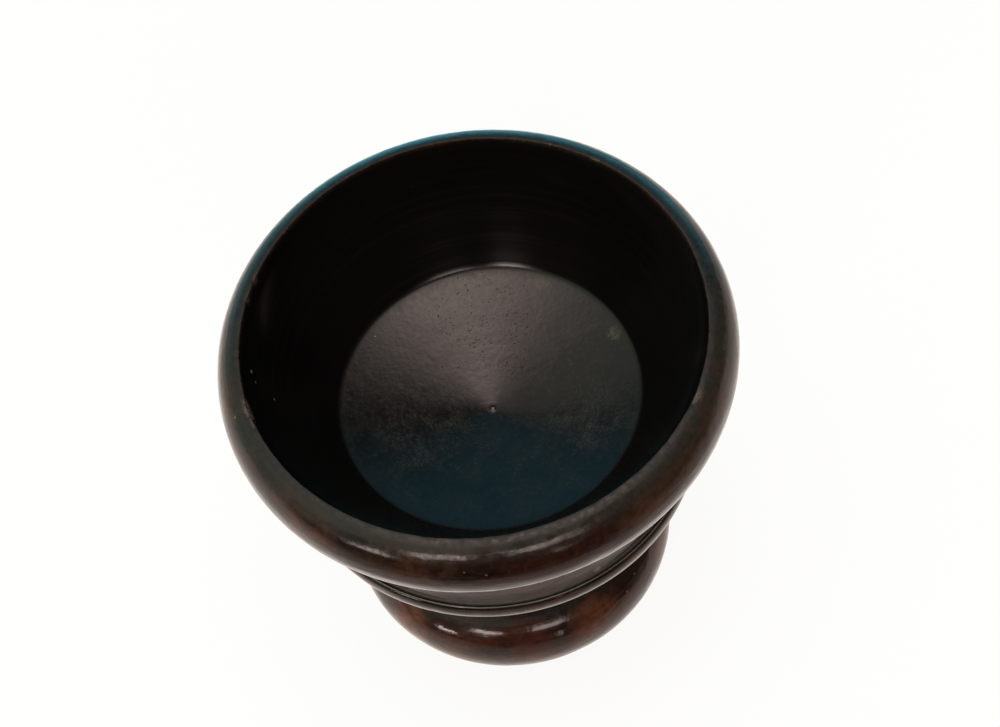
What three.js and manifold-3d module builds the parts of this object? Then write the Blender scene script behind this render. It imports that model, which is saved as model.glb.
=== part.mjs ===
// A pedestal salt cellar in turned hardwood: a deep bowl with a rolled rim, a bead collar
// under it, a short coved stem and a round-edged foot. The bowl's spigot passes through
// the collar into the stem, and the stem's tenon passes through the foot, where a wedge
// driven into its saw kerf spreads it.
// Millimetres, +Z up, with the origin at the centre of the ring that it stands on.
import * as THREE from 'three';
import { mergeVertices } from 'three/addons/utils/BufferGeometryUtils.js';
import Module from 'manifold-3d';

// Heights of the four turned pieces, stacked from the foot up
const footHeight = 15.2;
const stemHeight = 13.4;
const collarHeight = 10;
const bowlHeight = 27.9;

// Outside of the bowl: a straight waist, an ogee up to the widest circle, a rolled lip
const waistRadius = 30.3;
const waistHeight = 5.9;
const ogeeHollow = 5.6;
const ogeeSwell = 4.1;
const rimRadius = 38;
const rollRise = 6.2;
const lipWidth = 4.3;

// Inside of the bowl: a curved wall down to a coned floor with a turner's pip
const wallInset = 1.1;
const wallDrop = 6;
const footingWall = 7.3;
const floorThickness = 3.5;
const floorDish = 5.1;
const pipRadius = 0.8;
const pipHeight = 0.4;

// Bead collar: a tall, shallow bead a little wider than the waist, and a swelling underside
// that draws in to the stem
const beadStep = 0.2;
const beadDepth = 1.15;
const beadHeight = 4;
const quirkDepth = 0.9;
const collarLipStep = 0.8;
const collarLipHeight = 0.9;

// Stem: a cove between two fillets
const neckRadius = 12.8;
const shoulderFlare = 3;
const baseFlare = 5.2;
const stemFilletHeight = 1.1;

// Foot: a half-round edge over a flat ring that rests on the table, hollowed inside it
const footRadius = 26.2;
const footRollRadius = 7.6;
const restingRingWidth = 3.8;
const recessDepth = 2.2;

// Joints of the turned pieces
const spigotRadius = 9;
const socketWeb = 6;
const socketEndGap = 0.6;
const spigotChamfer = 0.6;
const tenonRadius = 7.5;
const glueGap = 0.15;

// Wedge in the tenon's kerf
const wedgeLength = 10;
const wedgeThickness = 1.9;
const wedgeTip = 0.5;
const wedgeEdgeInset = 0.4;
const kerfGap = 0.3;

// Fineness of the turning
const turnSides = 60;
const arcSteps = 4;

const stemBottom = footHeight;
const collarBottom = stemBottom + stemHeight;
const bowlBottom = collarBottom + collarHeight;
const mouthHeight = bowlBottom + bowlHeight;

const stainedBowl = new THREE.MeshStandardMaterial({ color: 0x2f1d17, roughness: 0.35, metalness: 0 });
const stainedCollar = new THREE.MeshStandardMaterial({ color: 0x38201a, roughness: 0.35, metalness: 0 });
const stainedStem = new THREE.MeshStandardMaterial({ color: 0x321c16, roughness: 0.4, metalness: 0 });
const stainedFoot = new THREE.MeshStandardMaterial({ color: 0x41231a, roughness: 0.35, metalness: 0 });
const boxwood = new THREE.MeshStandardMaterial({ color: 0x8a6a3c, roughness: 0.6, metalness: 0 });

const wasm = await Module();
wasm.setup();

// Adds the quarter of an ellipse between two angles given in quarter turns.
function quarter(path, radius, height, across, up, from, to) {
  const turn = Math.PI / 2;
  path.absellipse(radius, height, across, up, from * turn, to * turn, to < from, 0);
}

// Turns a path of radius across and height up about the Z axis.
function turned(path) {
  return new THREE.LatheGeometry(path.getPoints(arcSteps), turnSides).rotateX(Math.PI / 2);
}

function toSolid(geometry) {
  const bare = geometry.clone();
  bare.deleteAttribute('normal');
  bare.deleteAttribute('uv');
  const merged = mergeVertices(bare, 1e-3);
  return new wasm.Manifold(new wasm.Mesh({
    numProp: 3,
    vertProperties: new Float32Array(merged.attributes.position.array),
    triVerts: new Uint32Array(merged.index.array),
  }));
}

function toGeometry(solid) {
  const mesh = solid.getMesh();
  const geometry = new THREE.BufferGeometry();
  geometry.setAttribute('position', new THREE.BufferAttribute(mesh.vertProperties, 3));
  geometry.setIndex(new THREE.BufferAttribute(mesh.triVerts, 1));
  geometry.computeVertexNormals();
  return geometry;
}

function piece(name, geometry, material) {
  const mesh = new THREE.Mesh(geometry, material);
  mesh.name = name;
  return mesh;
}

// The bowl, from the end of its spigot up the outside, over the rim and down the inside.
function bowl() {
  const spigotEnd = stemBottom + socketWeb + socketEndGap;
  const waistTop = bowlBottom + waistHeight;
  const widestHeight = mouthHeight - rollRise;
  const hollowHeight = waistTop + ogeeHollow;
  const swellHeight = widestHeight - ogeeSwell;
  const ogeeRadius = (waistRadius + rimRadius) / 2;
  const ogeeHeight = (hollowHeight + swellHeight) / 2;
  const mouthRadius = rimRadius - lipWidth;
  const floorRadius = waistRadius - footingWall;
  const floorCentre = bowlBottom + floorThickness;
  const floorEdge = floorCentre + floorDish;
  const pipEdge = floorCentre + floorDish * pipRadius / floorRadius;
  const path = new THREE.Path();
  path.moveTo(0, spigotEnd);
  path.lineTo(spigotRadius - spigotChamfer, spigotEnd);
  path.lineTo(spigotRadius, spigotEnd + spigotChamfer);
  path.lineTo(spigotRadius, bowlBottom);
  path.lineTo(waistRadius, bowlBottom);
  path.lineTo(waistRadius, waistTop);
  path.quadraticCurveTo(waistRadius, hollowHeight, ogeeRadius, ogeeHeight);
  path.quadraticCurveTo(rimRadius, swellHeight, rimRadius, widestHeight);
  quarter(path, mouthRadius, widestHeight, lipWidth, rollRise, 0, 1);
  path.quadraticCurveTo(mouthRadius - wallInset, mouthHeight - wallDrop, floorRadius, floorEdge);
  path.lineTo(pipRadius, pipEdge);
  path.lineTo(0, pipEdge + pipHeight);
  return piece('bowl', turned(path), stainedBowl);
}

// The collar, bored for the bowl's spigot.
function beadCollar() {
  const bore = spigotRadius + glueGap;
  const beadCentre = waistRadius + beadStep;
  const beadBottom = bowlBottom - beadHeight;
  const quirkRadius = beadCentre - quirkDepth;
  const lipRadius = neckRadius + shoulderFlare + collarLipStep;
  const lipTop = collarBottom + collarLipHeight;
  const path = new THREE.Path();
  path.moveTo(bore, collarBottom);
  path.lineTo(lipRadius, collarBottom);
  path.lineTo(lipRadius, lipTop);
  quarter(path, lipRadius, beadBottom, quirkRadius - lipRadius, beadBottom - lipTop, -1, 0);
  path.lineTo(beadCentre, beadBottom);
  quarter(path, beadCentre, bowlBottom - beadHeight / 2, beadDepth, beadHeight / 2, -1, 1);
  path.lineTo(bore, bowlBottom);
  path.lineTo(bore, collarBottom);
  return piece('bead_collar', turned(path), stainedCollar);
}

// A tapered slip along the tenon, thick end flush with it, grown by a gap on every face.
function wedgeBlank(width, gap) {
  const top = recessDepth + wedgeLength;
  const outline = new THREE.Shape([
    new THREE.Vector2(-wedgeThickness / 2 - gap, recessDepth - gap),
    new THREE.Vector2(wedgeThickness / 2 + gap, recessDepth - gap),
    new THREE.Vector2(wedgeTip / 2 + gap, top + gap),
    new THREE.Vector2(-wedgeTip / 2 - gap, top + gap),
  ]);
  const blank = new THREE.ExtrudeGeometry(outline, { depth: width, bevelEnabled: false });
  return blank.translate(0, 0, -width / 2).rotateX(Math.PI / 2);
}

// The stem, with a socket for the spigot above and a sawn tenon below.
function stem() {
  const bore = spigotRadius + glueGap;
  const socketFloor = stemBottom + socketWeb;
  const shoulderRadius = neckRadius + shoulderFlare;
  const baseRadius = neckRadius + baseFlare;
  const coveTop = collarBottom - stemFilletHeight;
  const coveBottom = stemBottom + stemFilletHeight;
  const neckHeight = (coveTop + coveBottom) / 2;
  const path = new THREE.Path();
  path.moveTo(0, recessDepth);
  path.lineTo(tenonRadius, recessDepth);
  path.lineTo(tenonRadius, stemBottom);
  path.lineTo(baseRadius, stemBottom);
  path.lineTo(baseRadius, coveBottom);
  quarter(path, baseRadius, neckHeight, baseFlare, neckHeight - coveBottom, 3, 2);
  quarter(path, shoulderRadius, neckHeight, shoulderFlare, coveTop - neckHeight, 2, 1);
  path.lineTo(shoulderRadius, collarBottom);
  path.lineTo(bore, collarBottom);
  path.lineTo(bore, socketFloor);
  path.lineTo(0, socketFloor);
  const kerf = toSolid(wedgeBlank(4 * tenonRadius, kerfGap));
  return piece('stem', toGeometry(toSolid(turned(path)).subtract(kerf)), stainedStem);
}

// The foot, bored through for the stem's tenon.
function foot() {
  const bore = tenonRadius + glueGap;
  const ringOuter = footRadius - footRollRadius;
  const ringInner = ringOuter - restingRingWidth;
  const path = new THREE.Path();
  path.moveTo(bore, recessDepth);
  path.lineTo(ringInner, recessDepth);
  path.lineTo(ringInner, 0);
  path.lineTo(ringOuter, 0);
  quarter(path, ringOuter, footRollRadius, footRollRadius, footRollRadius, -1, 0);
  quarter(path, ringOuter, footHeight - footRollRadius, footRollRadius, footRollRadius, 0, 1);
  path.lineTo(bore, footHeight);
  path.lineTo(bore, recessDepth);
  return piece('foot', turned(path), stainedFoot);
}

// The wedge, a little narrower than the tenon so that its corners stay inside the bore.
function tenonWedge() {
  return piece('tenon_wedge', wedgeBlank(2 * (tenonRadius - wedgeEdgeInset), 0), boxwood);
}

const saltCellar = new THREE.Group();
saltCellar.name = 'pedestal_salt_cellar';
saltCellar.add(bowl(), beadCollar(), stem(), foot(), tenonWedge());

export default saltCellar;
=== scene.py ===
"""A pedestal salt cellar in turned and stained hardwood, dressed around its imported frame.

The bowl, the bead collar, the stem and the foot are turned surfaces: an outline in radius and
height carried round the Z axis, worn by hand afterwards. Outlines are in millimetres, and every
mesh is in metres with its place in its points.
"""

from __future__ import annotations

import logging
import math
from dataclasses import dataclass, field, replace
from enum import Enum
from typing import ClassVar, Union

import bpy
import numpy as np
from mathutils import Matrix, Vector


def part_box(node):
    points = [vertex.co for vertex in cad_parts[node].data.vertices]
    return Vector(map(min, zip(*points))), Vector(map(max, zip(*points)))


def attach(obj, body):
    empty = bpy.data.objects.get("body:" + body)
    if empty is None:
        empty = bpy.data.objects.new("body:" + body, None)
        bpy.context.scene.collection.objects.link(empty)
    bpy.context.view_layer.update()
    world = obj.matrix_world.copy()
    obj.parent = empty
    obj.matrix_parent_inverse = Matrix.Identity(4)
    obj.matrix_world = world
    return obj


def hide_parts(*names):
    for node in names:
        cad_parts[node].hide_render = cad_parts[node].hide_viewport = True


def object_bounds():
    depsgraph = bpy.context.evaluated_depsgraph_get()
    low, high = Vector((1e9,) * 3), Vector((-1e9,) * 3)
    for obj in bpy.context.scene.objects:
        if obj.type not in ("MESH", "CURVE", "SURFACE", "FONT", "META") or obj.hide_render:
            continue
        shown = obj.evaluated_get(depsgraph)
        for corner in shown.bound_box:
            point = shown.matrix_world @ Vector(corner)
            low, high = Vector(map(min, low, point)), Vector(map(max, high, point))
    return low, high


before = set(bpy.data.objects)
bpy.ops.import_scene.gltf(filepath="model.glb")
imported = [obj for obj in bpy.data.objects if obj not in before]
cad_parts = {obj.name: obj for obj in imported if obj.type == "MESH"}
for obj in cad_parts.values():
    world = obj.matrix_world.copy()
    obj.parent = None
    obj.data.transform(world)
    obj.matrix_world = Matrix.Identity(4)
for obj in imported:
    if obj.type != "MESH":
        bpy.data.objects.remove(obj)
cad_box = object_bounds()

MM = 0.001
TINY = 1e-6
log = logging.getLogger("salt_cellar")

Triple = tuple[float, float, float]
Colour = Triple
Point = tuple[float, float]
PAPER_WHITE: Colour = (0.991, 0.983, 0.966)


class Slot(Enum):
    """The record's material slots, one for each piece of wood."""

    BOWL = "bowl_wood"
    COLLAR = "collar_wood"
    STEM = "stem_wood"
    FOOT = "foot_wood"
    WEDGE = "wedge_wood"


class Mark(Enum):
    """Values kept on a piece's points, which its finish reads."""

    ALONG = "along_outline"
    # Grime on the bowl's crown; painted shade on the collar's underside, the stem and the foot's top
    GRIME_AND_SHADE = "grime_and_shade_share"
    DUST = "joint_dust"
    EDGE = "edge_wear"
    BRIM = "brim"
    INSIDE = "inside_share"
    FLOOR = "floor_share"
    CORNER = "corner_share"
    PIP = "pip_share"
    NICK = "nick_share"
    BARE = "bare_share"


class Blend(Enum):
    """How one colour is laid over another."""

    MIX = "MIX"
    MULTIPLY = "MULTIPLY"
    ADD = "ADD"


class Maths(Enum):
    """What a Math node does with two numbers."""

    ADD = "ADD"
    SUBTRACT = "SUBTRACT"
    MULTIPLY = "MULTIPLY"
    MAXIMUM = "MAXIMUM"
    POWER = "POWER"


@dataclass(frozen=True)
class Spot:
    """A place where a finish differs: its centre and reach in millimetres, and its strength."""

    centre: Triple
    reach: float
    strength: float = 1.0


@dataclass(frozen=True)
class Noise:
    """Soft noise: bumps per unit, finer layers, distortion, a factor on Z that draws it out, a move."""

    scale: float
    detail: float = 2.0
    warp: float = 0.0
    rise: float = 1.0
    move: Triple | None = None


@dataclass(frozen=True)
class Rings:
    """Noise in rings: bumps per millimetre of outline, how far they stray, finer layers, a seed."""

    pitch: float
    stray: float
    detail: float
    seed: float = 0.0


class Signal:
    """A number in a shader tree. Arithmetic on it adds Math nodes."""

    def __init__(self, board: Board, socket: bpy.types.NodeSocket) -> None:
        """Wraps a number socket of a board."""
        self.board = board
        self.socket = socket

    def _join(self, maths: Maths, first: Number, second: Number) -> Signal:
        """Adds one Math node on two numbers."""
        node = self.board.add("ShaderNodeMath", {"operation": maths.value}, {0: first, 1: second})
        return Signal(self.board, node.outputs[0])

    def __add__(self, other: Number) -> Signal:
        """Sum."""
        return self._join(Maths.ADD, self, other)

    def __radd__(self, other: Number) -> Signal:
        """Sum, with the plain number first."""
        return self._join(Maths.ADD, other, self)

    def __sub__(self, other: Number) -> Signal:
        """Difference."""
        return self._join(Maths.SUBTRACT, self, other)

    def __rsub__(self, other: Number) -> Signal:
        """Difference, with the plain number first."""
        return self._join(Maths.SUBTRACT, other, self)

    def __mul__(self, other: Number) -> Signal:
        """Product."""
        return self._join(Maths.MULTIPLY, self, other)

    def __rmul__(self, other: Number) -> Signal:
        """Product, with the plain number first."""
        return self._join(Maths.MULTIPLY, other, self)

    def larger(self, other: Number) -> Signal:
        """The larger of two numbers."""
        return self._join(Maths.MAXIMUM, self, other)

    def power(self, exponent: float) -> Signal:
        """The number raised to an exponent, with numbers below 0 taken as 0."""
        return self._join(Maths.POWER, self.larger(0.0), exponent)

    def swing(self, amount: float) -> Signal:
        """A noise's swing about its middle, 0.5, times an amount."""
        return (self - 0.5) * amount

    def step(self, low: float, high: float) -> Signal:
        """A smooth step from 0 at the low value to 1 at the high one.

        Args:
            low: the value where the step starts.
            high: the value where it ends.

        Returns:
            The step, kept between 0 and 1.
        """
        node = self.board.add(
            "ShaderNodeMapRange",
            {"interpolation_type": "SMOOTHSTEP"},
            {"Value": self, "From Min": low, "From Max": high},
        )
        return Signal(self.board, node.outputs[0])


Number = Union[Signal, float]
Paint = Union[Colour, Number, bpy.types.NodeSocket]


class Board:
    """A shader tree, with one method that adds any node and short forms of the common ones."""

    def __init__(self, tree: bpy.types.ShaderNodeTree) -> None:
        """Empties the tree and keeps it."""
        self.tree = tree
        self.tree.nodes.clear()

    def add(self, kind: str, settings: dict | None = None, sockets: dict | None = None) -> bpy.types.Node:
        """Adds a node.

        Args:
            kind: the node's type.
            settings: its properties, set before its sockets.
            sockets: numbers, colours, signals or sockets, by the input's name or index.

        Returns:
            The node.
        """
        node = self.tree.nodes.new(kind)
        for name, value in (settings or {}).items():
            setattr(node, name, value)
        for key, value in (sockets or {}).items():
            source = value.socket if isinstance(value, Signal) else value
            if isinstance(source, bpy.types.NodeSocket):
                self.tree.links.new(source, node.inputs[key])
            else:
                node.inputs[key].default_value = source
        return node

    def place(self) -> bpy.types.NodeSocket:
        """The point on the piece, in metres in the shared frame."""
        return self.add("ShaderNodeTexCoord").outputs["Object"]

    def mark(self, mark: Mark) -> Signal:
        """A value kept on the piece's points."""
        node = self.add("ShaderNodeAttribute", {"attribute_name": mark.value})
        return Signal(self, node.outputs["Fac"])

    def parts(self, vector: bpy.types.NodeSocket) -> tuple[Signal, Signal, Signal]:
        """The three numbers of a vector."""
        node = self.add("ShaderNodeSeparateXYZ", None, {0: vector})
        return tuple(Signal(self, output) for output in node.outputs)

    def joined(self, x: Number, y: Number, z: Number) -> bpy.types.NodeSocket:
        """A vector of three numbers."""
        return self.add("ShaderNodeCombineXYZ", None, {0: x, 1: y, 2: z}).outputs[0]

    def noise(self, vector: bpy.types.NodeSocket, kind: Noise, move: Triple | None = None) -> Signal:
        """Soft noise around 0.5.

        Args:
            vector: where it is read.
            kind: its scale, detail, distortion and factor on Z.
            move: what is added to the vector after that factor, in place of the kind's own move.

        Returns:
            The noise.
        """
        move = move or kind.move
        if move:
            sockets = {0: vector, 1: (1, 1, kind.rise), 2: move}
            vector = self.add("ShaderNodeVectorMath", {"operation": "MULTIPLY_ADD"}, sockets).outputs[0]
        sockets = {"Vector": vector, "Scale": kind.scale, "Detail": kind.detail, "Distortion": kind.warp}
        return Signal(self, self.add("ShaderNodeTexNoise", None, sockets).outputs[0])

    def rings(self, kind: Rings, drift: Signal, seed: float = 0.0) -> Signal:
        """Noise round the work: it changes along the outline, and strays a little on its way round.

        Args:
            kind: its pitch, stray, detail and seed.
            drift: slow noise over the piece, which leads the rings astray.
            seed: what is added to its seed.

        Returns:
            The noise.
        """
        along = self.mark(Mark.ALONG)
        place = self.joined(along * kind.pitch, drift * kind.stray, kind.seed + seed)
        return self.noise(place, Noise(1.0, kind.detail))

    def specks(self, vector: bpy.types.NodeSocket, scale: float, edge: Point, rarity: Point) -> Signal:
        """Round specks in the middle of the rarest of many cells.

        Args:
            vector: where they are read.
            scale: cells per unit of the vector.
            edge: the distances from a cell's centre between which a speck fades out.
            rarity: the cells' random numbers between which the specks come in.

        Returns:
            The specks' mask.
        """
        node = self.add("ShaderNodeTexVoronoi", None, {"Vector": vector, "Scale": scale})
        kind = self.parts(node.outputs["Color"])[0]
        return (1 - Signal(self, node.outputs["Distance"]).step(*edge)) * kind.step(*rarity)

    def spot(self, vector: bpy.types.NodeSocket, spot: Spot) -> Signal:
        """A soft round spot: 1 up to a third of its reach from its centre, and 0 past its reach."""
        centre = tuple(MM * v for v in spot.centre)
        node = self.add("ShaderNodeVectorMath", {"operation": "DISTANCE"}, {0: vector, 1: centre})
        return 1 - Signal(self, node.outputs["Value"]).step(spot.reach * MM / 3, spot.reach * MM)

    def spots(self, vector: bpy.types.NodeSocket, spots: tuple[Spot, ...]) -> Signal:
        """The largest of several soft round spots, each times its strength."""
        total = self.spot(vector, spots[0]) * spots[0].strength
        for spot in spots[1:]:
            total = total.larger(self.spot(vector, spot) * spot.strength)
        return total

    def tone(
        self, mask: Number, under: Paint, over: Paint, blend: Blend = Blend.MIX
    ) -> bpy.types.NodeSocket:
        """Lays one colour over another.

        Args:
            mask: how much of the upper colour shows.
            under: the lower colour, or its socket.
            over: the upper colour, its socket, or a number that stands for a grey.
            blend: how the two are blended.

        Returns:
            The blended colour.
        """
        paints = [(*c, 1.0) if isinstance(c, tuple) else c for c in (under, over)]
        settings = {"data_type": "RGBA", "blend_type": blend.value}
        return self.add("ShaderNodeMix", settings, {0: mask, 6: paints[0], 7: paints[1]}).outputs[2]

    def scaled(self, colour: Paint, factor: Paint) -> bpy.types.NodeSocket:
        """A colour times another one, or times a grey."""
        return self.tone(1.0, colour, factor, Blend.MULTIPLY)

    def painted(self, colour: Paint, *layers: tuple[Number, Paint]) -> bpy.types.NodeSocket:
        """Lays colours over one another.

        Args:
            colour: the lowest colour, or its socket.
            layers: for each further colour, how much of it shows, and the colour or its socket.

        Returns:
            The blended colour.
        """
        for mask, over in layers:
            colour = self.tone(mask, colour, over)
        return colour

    def blend(self, mask: Number, under: Number, over: Number) -> Signal:
        """Goes from one number to another as the mask goes from 0 to 1."""
        node = self.add("ShaderNodeMix", {"data_type": "FLOAT"}, {0: mask, 2: under, 3: over})
        return Signal(self, node.outputs[0])


@dataclass
class Coat:
    """What a surface shows: its colour, its roughness and its relief in millimetres."""

    colour: Paint
    rough: Signal
    relief: Signal

    TINT: ClassVar[Colour] = (0.94, 0.77, 0.72)

    def under(self, board: Board, mask: Number, over: Coat) -> Coat:
        """Lays another coat over this one.

        Args:
            board: the shader tree.
            mask: how much of the upper coat shows.
            over: the upper coat.

        Returns:
            The blended coat.
        """
        return Coat(
            board.tone(mask, self.colour, over.colour),
            board.blend(mask, self.rough, over.rough),
            board.blend(mask, self.relief, over.relief),
        )

    def apply(self, board: Board, ior: float) -> None:
        """Ends the tree with a shader that shows this coat.

        Args:
            board: the shader tree.
            ior: the polish's index of refraction.
        """
        bump = board.add("ShaderNodeBump", None, {"Strength": 1.0, "Distance": MM, "Height": self.relief})
        shader = board.add(
            "ShaderNodeBsdfPrincipled",
            None,
            {"Base Color": self.colour, "Roughness": self.rough, "IOR": ior, "Normal": bump.outputs[0]},
        )
        shader.inputs["Specular Tint"].default_value = (*self.TINT, 1.0)
        board.add("ShaderNodeOutputMaterial", None, {0: shader.outputs[0]})


def new_object(name: str, data: bpy.types.ID) -> bpy.types.Object:
    """An object with its data, linked to the scene."""
    item = bpy.data.objects.new(name, data)
    bpy.context.scene.collection.objects.link(item)
    return item


def new_board(name: str) -> tuple[bpy.types.Material, Board]:
    """Starts a material with an empty tree.

    Args:
        name: the material's name.

    Returns:
        The material and its board.
    """
    material = bpy.data.materials.new(name)
    material.use_nodes = True
    return material, Board(material.node_tree)


@dataclass(frozen=True)
class StainedHardwood:
    """Close-grained hardwood under a dark, rubbed stain, with its grain along the Z axis.

    The grain is one pattern stretched along Z, so it shows as streaks up the sides and as
    dots on faces across the grain. Rubbing leaves fine lines round the work. Depths of relief
    are in millimetres, and noises read in metres.
    """

    name: str
    heart: Colour = (0.0120, 0.0055, 0.0040)
    maroon: Colour = (0.0300, 0.0085, 0.0055)
    brown: Colour = (0.0760, 0.0360, 0.0205)
    amber: Colour = (0.1100, 0.0390, 0.0180)
    pore: Colour = (0.0040, 0.0020, 0.0020)
    speck: Colour = (0.2000, 0.0850, 0.0450)
    # Grime on the bowl's crown, and painted shade on the collar's underside and the stem
    grime_and_shade: Colour = (0.0128, 0.0122, 0.0092)
    bare: Colour = (0.2300, 0.1250, 0.0620)
    bare_streak: float = 0.45
    joint_dust: Colour = (0.1900, 0.1550, 0.1350)
    worn_wood: Colour = (0.0880, 0.0360, 0.0165)
    brown_share: float = 0.5
    amber_share: float = 0.5
    shade: float = 0.66
    gloss: float = 0.17
    bare_rough: float = 0.62
    ior: float = 1.37
    seed: float = 0.0
    seed_shares: Triple = (1.0, 0.37, 0.71)
    amber_spots: tuple[Spot, ...] = ()
    chips: tuple[Spot, ...] = ()

    drift_noise: Noise = Noise(60)
    grain_noise: Noise = Noise(950, 3, rise=0.07)
    pore_noise: Noise = Noise(4200, 1, rise=0.08)
    blotch_noise: Noise = Noise(85, 4, 0.7, 1.7)
    cloud_noise: Noise = Noise(42, 3, 0.4, 1.3)
    fleck_noise: Noise = Noise(190, 3, 0.5, 1.9)
    haze_noise: Noise = Noise(330, 3, 0.3, 2.0)
    mottle_noise: Noise = Noise(1000, 4, 0.3, 1.4)
    chafe_noise: Noise = Noise(900, 3)
    smear_noise: Noise = Noise(420, 3)
    chip_noise: Noise = Noise(2400)
    sawn_noise: Noise = Noise(700, 3, rise=0.05)
    facet_rings: Rings = Rings(0.75, 2.2, 1)
    rubbed_lines: Rings = Rings(3.0, 2.4, 4)
    speck_scale: float = 520

    facet_depth: float = 0.070
    line_depth: float = 0.008
    blotch_depth: float = 0.20
    haze_depth: float = 0.030
    mottle_depth: float = 0.006
    grain_depth: float = 0.004
    caked_depth: float = 0.03
    relief_share: float = 1.0

    def outside(self, board: Board) -> Coat:
        """The stained and rubbed surface. Each noise is read from its own place, given by the seed.

        Args:
            board: the shader tree.

        Returns:
            The coat.
        """
        place = board.place()
        x, y, z = (share * self.seed for share in self.seed_shares)
        drift = board.noise(place, self.drift_noise, (x, y, z))
        facets = board.rings(self.facet_rings, drift, self.seed)
        lines = board.rings(self.rubbed_lines, drift, self.seed)
        grain = board.noise(place, self.grain_noise, (x, y, z))
        pores = board.noise(place, self.pore_noise, (x, y, z)).step(0.62, 0.74)
        blotch = board.noise(place, self.blotch_noise, (x, y, z))
        cloud = board.noise(place, self.cloud_noise, (y, x, 3.1))
        fleck = board.noise(place, self.fleck_noise, (z, 5.7, x))
        haze = board.noise(place, self.haze_noise, (3.3, y, z))
        mottle = board.noise(place, self.mottle_noise, (z, 1.9, y))
        amber = fleck.step(0.54, 0.72) * cloud.step(0.50, 0.64) * self.amber_share
        if self.amber_spots:
            amber = amber.larger(board.spots(place, self.amber_spots) * fleck.step(0.36, 0.62))
        colour = board.painted(
            self.heart,
            (blotch.step(0.46, 0.62), self.maroon),
            (cloud.step(0.42, 0.64) * self.brown_share, self.brown),
            (amber, self.amber),
            (grain.step(0.50, 0.70) * 0.45, self.heart),
            (pores * 0.3, self.pore),
            (mottle.step(0.50, 0.72) * 0.18, self.brown),
            ((1 - mottle).step(0.54, 0.70) * 0.45, self.heart),
        )
        colour = board.scaled(colour, (0.72 + lines * 0.56) * self.shade)
        specks = board.specks(place, self.speck_scale, (0.08, 0.16), (0.962, 0.970))
        colour = board.tone(specks * 0.75, colour, self.speck)
        rough = self.gloss + haze.swing(0.16) + lines.swing(0.12) + pores * 0.06 + amber * 0.08
        relief = facets.swing(self.facet_depth) + lines.swing(self.line_depth)
        relief = relief + blotch.swing(self.blotch_depth) + haze.swing(self.haze_depth)
        relief = relief + mottle.swing(self.mottle_depth) + grain.swing(self.grain_depth)
        return Coat(colour, rough + mottle.swing(0.14), relief * self.relief_share)

    def worn(self, board: Board, base: Coat) -> Coat:
        """The coat with its edges rubbed through, darkened by grime and painted shade where marked, and its
        hidden faces left unstained.

        Args:
            board: the shader tree.
            base: the stained coat.

        Returns:
            The coat.
        """
        place = board.place()
        chafe = board.noise(place, self.chafe_noise)
        smear = board.noise(place, self.smear_noise).step(0.30, 0.62) * 0.45 + 0.45
        streaks = board.noise(place, self.sawn_noise, (2.0, self.seed, 0.0)).step(0.35, 0.70)
        # The grime mark lays grime and painted shade; caked only adds roughness and relief
        grime_and_shade_mask = board.mark(Mark.GRIME_AND_SHADE) * smear
        caked = board.mark(Mark.GRIME_AND_SHADE) * (chafe - 0.5)
        rubbed = board.mark(Mark.EDGE) * chafe.step(0.42, 0.62)
        dust = board.mark(Mark.DUST) * (0.55 + chafe * 0.75)
        bare = board.mark(Mark.BARE)
        layers = [(grime_and_shade_mask, self.grime_and_shade), (rubbed * 0.65, self.worn_wood), (dust, self.joint_dust)]
        if self.chips:
            chipped = board.spots(place, self.chips) * board.noise(place, self.chip_noise).step(0.34, 0.50)
            layers.append((chipped, self.bare))
        raw = board.tone(streaks, self.bare, tuple(self.bare_streak * c for c in self.bare))
        colour = board.painted(base.colour, *layers, (bare, raw))
        rough = board.blend(bare, base.rough + rubbed * 0.12 + dust * 0.35, self.bare_rough)
        rough = rough + grime_and_shade_mask * 0.16 + caked * 0.50
        return Coat(colour, rough, base.relief + caked * self.caked_depth)

    def material(self) -> bpy.types.Material:
        """The finished material."""
        material, board = new_board(self.name)
        self.worn(board, self.outside(board)).apply(board, self.ior)
        return material


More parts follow.
